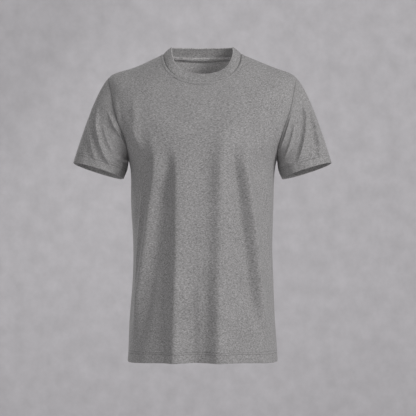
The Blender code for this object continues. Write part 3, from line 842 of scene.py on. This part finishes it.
def tube(name, rows, width, thickness, material):
    """Flat rounded ribbons along lines: an ellipse of width by thickness swept along each,
    its ends closed. A row is (points, ways out, whether it closes on itself)."""
    all_points, all_faces, base = [], [], 0
    turn = np.arange(RIBBON_SIDES) * 2 * HALF_TURN / RIBBON_SIDES
    for points, ways, closed in rows:
        ahead, behind = np.roll(points, -1, axis=0), np.roll(points, 1, axis=0)
        if not closed:
            ahead[-1], behind[0] = points[-1], points[0]
        across = unit(np.cross(ahead - behind, ways))
        shape = np.stack([np.cos(turn) * width / 2, np.sin(turn) * thickness / 2], -1)
        ring = (
            points[:, None]
            + across[:, None] * shape[None, :, :1]
            + ways[:, None] * shape[None, :, 1:]
        )
        count = len(points)
        index = base + np.arange(count * RIBBON_SIDES).reshape(count, RIBBON_SIDES)
        index = np.hstack([index, index[:, :1]])
        if closed:
            index = np.vstack([index, index[:1]])
        faces = np.stack([index[:-1, :-1], index[:-1, 1:], index[1:, 1:], index[1:, :-1]], -1)
        all_faces.append(faces.reshape(-1, 4))
        if not closed:
            near = np.arange(RIBBON_SIDES // 2 - 1)
            far = RIBBON_SIDES - 1 - near
            cap = np.stack([near, near + 1, far - 1, far], -1)
            all_faces += [index[0][cap], index[-1][cap][:, ::-1]]
        all_points.append(ring.reshape(-1, 3))
        base += count * RIBBON_SIDES
    points = np.concatenate(all_points)
    add_mesh(name, points, np.concatenate(all_faces), material, points[:, :2])


# Materials
def linear(code):
    """Linear RGBA of a hex sRGB colour."""
    channels = [int(code[i : i + 2], 16) / 255 for i in (1, 3, 5)]
    return [c / 12.92 if c <= 0.04045 else ((c + 0.055) / 1.055) ** 2.4 for c in channels] + [1]


def node(tree, kind, inputs=(), **settings):
    """Adds a node with its settings. inputs pairs a socket's name or number with a value, or
    with the output that feeds it."""
    made = tree.nodes.new(kind)
    for name, value in settings.items():
        setattr(made, name, value)
    for socket, value in dict(inputs).items():
        if isinstance(value, bpy.types.NodeSocket):
            tree.links.new(value, made.inputs[socket])
        else:
            made.inputs[socket].default_value = value
    return made


def sums(tree, *terms):
    """1 plus the sum of factor * (output - middle)."""
    total = 1.0
    for output, middle, factor in terms:
        term = node(tree, "ShaderNodeMath", {0: output, 1: -middle}, operation="ADD").outputs[0]
        total = node(
            tree, "ShaderNodeMath", {0: term, 1: factor, 2: total}, operation="MULTIPLY_ADD"
        ).outputs[0]
    return total


def melange(name, colour, painted_light, rib_pitch=None, contrast=1.20):
    """Cotton dyed in the fibre: dark and light fibres mixed, so it shows fine flecks, short
    streaks along the courses and slow cloudy changes. Cloth coordinates are in metres. Where
    a point's attribute says, the colour is painted paler by the share given: painted light,
    standing in for light shining through and into the cloth on its inside, and the rib's
    painted highlight along its fold."""
    material = bpy.data.materials.new(name)
    material.use_nodes = True
    tree = material.node_tree
    shader = tree.nodes["Principled BSDF"]
    uv = node(tree, "ShaderNodeUVMap", uv_map="cloth").outputs["UV"]

    def noise(across, down, detail, shift):
        """Noise whose grain is about 1/across by 1/down metres, its lattice turned by shift."""
        placed = node(
            tree,
            "ShaderNodeMapping",
            {
                "Vector": uv,
                "Location": (shift, shift * 1.7, 0),
                "Rotation": (0, 0, 0.12 * shift),
                "Scale": (across, down, 1),
            },
        ).outputs[0]
        return node(
            tree,
            "ShaderNodeTexNoise",
            {"Vector": placed, "Scale": 1.0, "Detail": detail, "Roughness": 0.6},
            noise_dimensions="2D",
        ).outputs[0]

    flecks = noise(620, 760, 2, 3.1)  # 1.5 mm
    grain = noise(330, 390, 1, 6.1)  # 3 mm
    streaks = noise(190, 400, 2, 7.7)  # 5 mm by 2.5 mm, along the courses
    mottle = noise(150, 170, 3, 1.3)  # 6 mm
    clouds = noise(28, 22, 2, 5.9)  # 40 mm
    bright = node(
        tree,
        "ShaderNodeMapRange",
        {"Value": noise(480, 560, 1, 9.3), "From Min": 0.62, "From Max": 0.76},
    ).outputs[0]
    value = sums(
        tree,
        (flecks, 0.5, 0.72 * contrast),
        (grain, 0.5, 0.95 * contrast),
        (streaks, 0.5, 0.22 * contrast),
        (mottle, 0.5, 0.50 * contrast),
        (clouds, 0.5, 0.18 * contrast),
        (bright, 0.0, 0.16 * contrast),
    )
    # painted light: paler inside for light through and into the cloth, and the rib's fold highlight
    inside = node(tree, "ShaderNodeAttribute", attribute_name="painted_light").outputs["Fac"]
    lighter = node(
        tree, "ShaderNodeMath", {0: inside, 1: painted_light, 2: 1.0}, operation="MULTIPLY_ADD"
    ).outputs[0]
    value = node(tree, "ShaderNodeMath", {0: value, 1: lighter}, operation="MULTIPLY").outputs[0]
    tinted = node(
        tree, "ShaderNodeVectorMath", {0: linear(colour)[:3], "Scale": value}, operation="SCALE"
    ).outputs[0]
    tree.links.new(tinted, shader.inputs["Base Color"])
    shader.inputs["Roughness"].default_value = 0.92
    shader.inputs["Specular IOR Level"].default_value = 0.25
    shader.inputs["Sheen Weight"].default_value = 0.12
    shader.inputs["Sheen Roughness"].default_value = 0.5
    height = noise(900, 900, 2, 2.2)  # the lie of the yarns, about 1.1 mm
    if rib_pitch:
        apart = node(tree, "ShaderNodeSeparateXYZ", {0: uv}).outputs[0]
        phase = node(
            tree, "ShaderNodeMath", {0: apart, 1: 2 * math.pi / rib_pitch}, operation="MULTIPLY"
        ).outputs[0]
        wave = node(tree, "ShaderNodeMath", {0: phase}, operation="SINE").outputs[0]
        height = node(
            tree, "ShaderNodeMath", {0: wave, 1: 0.8, 2: height}, operation="MULTIPLY_ADD"
        ).outputs[0]
    bump = node(
        tree, "ShaderNodeBump", {"Height": height, "Strength": 0.35, "Distance": 0.0004}
    ).outputs[0]
    tree.links.new(bump, shader.inputs["Normal"])
    return material


def plain(name, colour, roughness, mottle=0.0, scale=1.0):
    """One colour, or with mottle its soft lighter and darker clouds, about 1/scale m wide."""
    material = bpy.data.materials.new(name)
    material.use_nodes = True
    tree = material.node_tree
    shader = tree.nodes["Principled BSDF"]
    shader.inputs["Roughness"].default_value = roughness
    shader.inputs["Specular IOR Level"].default_value = 0.2
    shader.inputs["Base Color"].default_value = linear(colour)
    if mottle:
        spot = node(tree, "ShaderNodeTexCoord").outputs["Object"]
        wide = node(
            tree,
            "ShaderNodeTexNoise",
            {"Vector": spot, "Scale": scale, "Detail": 4.0, "Roughness": 0.6},
        ).outputs[0]
        value = sums(tree, (wide, 0.5, mottle))
        tinted = node(
            tree, "ShaderNodeVectorMath", {0: linear(colour)[:3], "Scale": value}, operation="SCALE"
        ).outputs[0]
        tree.links.new(tinted, shader.inputs["Base Color"])
    return material


# Stage, light and camera
SHIRT_MIDDLE = (0, 0, -0.3)


def plane(name, corners, material):
    """A flat four-cornered face of the stage."""
    mesh = bpy.data.meshes.new(name)
    mesh.from_pydata(corners, [], [(0, 1, 2, 3)])
    mesh.materials.append(material)
    piece = bpy.data.objects.new(name, mesh)
    bpy.context.scene.collection.objects.link(piece)


def lamp(name, place, size, power, colour):
    """A rectangular lamp of this size and power, turned to the shirt's middle."""
    data = bpy.data.lights.new(name, "AREA")
    data.shape = "RECTANGLE"
    data.size, data.size_y = size
    data.energy = power
    data.color = linear(colour)[:3]
    piece = bpy.data.objects.new(name, data)
    piece.location = place
    way = np.array(SHIRT_MIDDLE) - np.array(place)
    flat = math.hypot(way[0], way[1])
    piece.rotation_euler = (math.atan2(flat, -way[2]), 0, math.atan2(-way[0], way[1]))
    bpy.context.scene.collection.objects.link(piece)


def seam_allowances(material):
    """The overlocked allowances inside: ribbons along the sides, shoulders, armholes and neck,
    each as far in as its cloth rolls down and is thick."""
    lows = np.linspace(0.004, UNDERARM - 0.002, 160)
    highs = np.linspace(TIP + 0.001, NECK - 0.001, 60)
    turn = np.linspace(0, 2 * HALF_TURN, 241)[:-1]
    ring = np.linspace(0, 2 * HALF_TURN, 361)[:-1]
    ribbons = []
    for side in (LEFT, RIGHT):
        for levels, rolled in ((lows, 0.0009), (highs, 0.0006)):
            angle = np.full_like(levels, side * QUARTER_TURN)
            ribbons.append((*body_row(angle, levels, rolled + WALL + 0.0006), False))
        angle, level = side * armhole_angle(turn), armhole_level(turn)
        way = unit(body_normal(angle, level) + sleeve_normal(turn, np.zeros_like(turn), side))
        ribbons.append((*body_row(angle, level, 0.0008 + WALL + 0.0006, way), True))
    level = np.full_like(ring, NECK)
    way = unit(body_normal(ring, level) + band_normal(ring, np.zeros_like(ring)))
    ribbons.append((*body_row(ring, level, 0.0011 + WALL + 0.0004, way), True))
    tube("seam_allowances", ribbons, ALLOWANCE_WIDTH, ALLOWANCE_THICKNESS, material)


def thread_rows(material):
    """The hem's, cuffs' and neck's topstitching, pressed into the cloth's channels."""
    whole = np.linspace(-HALF_TURN, HALF_TURN, 1200)
    levels = [np.full_like(whole, HEM_STITCH + up) for up in (0, TWIN)]
    rows = [body_row(whole, level, THREAD_DEPTH) for level in levels]
    stitches("hem_stitches", rows, material)
    for side, label in ((LEFT, "left"), (RIGHT, "right")):
        rows = [sleeve_row(side, CUFF_STITCH + up, THREAD_DEPTH) for up in (0, TWIN)]
        stitches(f"cuff_{label}_stitches", rows, material)
    level = neck_level(whole, np.full_like(whole, NECK_STITCH))
    stitches("neck_stitches", [body_row(whole, level, THREAD_DEPTH)], material)


def build():
    # the third number is each cloth's share of painted light, paler inside and at the rib's fold
    jersey = melange("grey melange cotton jersey", "#878686", 1.40)
    rib = melange("grey melange cotton rib", "#878686", 0.40, rib_pitch=0.0017)
    tape = melange("grey melange jersey tape", "#888787", 0.95)
    thread = plain("grey spun thread", "#717071", 0.8)

    front = body_panel("front_cloth", 0, jersey)
    back = body_panel("back_cloth", HALF_TURN, jersey)
    left = sleeve_piece("sleeve_left_cloth", LEFT, jersey)
    right = sleeve_piece("sleeve_right_cloth", RIGHT, jersey)
    band = neckband(rib)
    strip = neck_tape(tape)
    thread_rows(thread)
    seam_allowances(jersey)

    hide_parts("front")
    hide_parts("back")
    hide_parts("sleeve_left")
    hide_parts("sleeve_right")
    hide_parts("neckband")
    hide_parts("neck_tape")


def light_and_stage():
    wall = plain("matt plaster", "#CBC9CC", 0.95, mottle=0.36, scale=12.0)
    ground = plain("pale floor", "#DAD9DA", 0.95)
    side, low, top, near, far = 9, -1.45, 5, -9, 4.1
    foot = [(-side, far, low), (side, far, low)]
    plane("backdrop", [*foot, (side, far, top), (-side, far, top)], wall)
    plane("floor", [(-side, near, low), (side, near, low), *foot[::-1]], ground)
    lamp("key", (2.80, -2.75, 1.35), (1.5, 1.5), 124, "#FFFEFE")
    lamp("back", (-1.95, 3.0, 1.15), (1.6, 1.6), 50, "#FFFFFF")
    lamp("fill", (-2.4, -3.4, 0.4), (2.0, 2.0), 20, "#FFFFFF")
    world = bpy.data.worlds.new("room")
    world.use_nodes = True
    sky = world.node_tree.nodes["Background"]
    sky.inputs["Color"].default_value = (1.0, 0.995, 1.0, 1)
    sky.inputs["Strength"].default_value = 0.40
    bpy.context.scene.world = world
    data = bpy.data.cameras.new("camera")
    data.lens, data.sensor_width = 123.08, 36
    data.clip_end = 60
    camera = bpy.data.objects.new("camera", data)
    camera.location = (0.0124, -3.2, -0.3465)
    camera.rotation_euler = (QUARTER_TURN, 0, 0)
    bpy.context.scene.collection.objects.link(camera)
    bpy.context.scene.camera = camera
    bpy.context.scene.view_settings.view_transform = "Standard"


build()
light_and_stage()
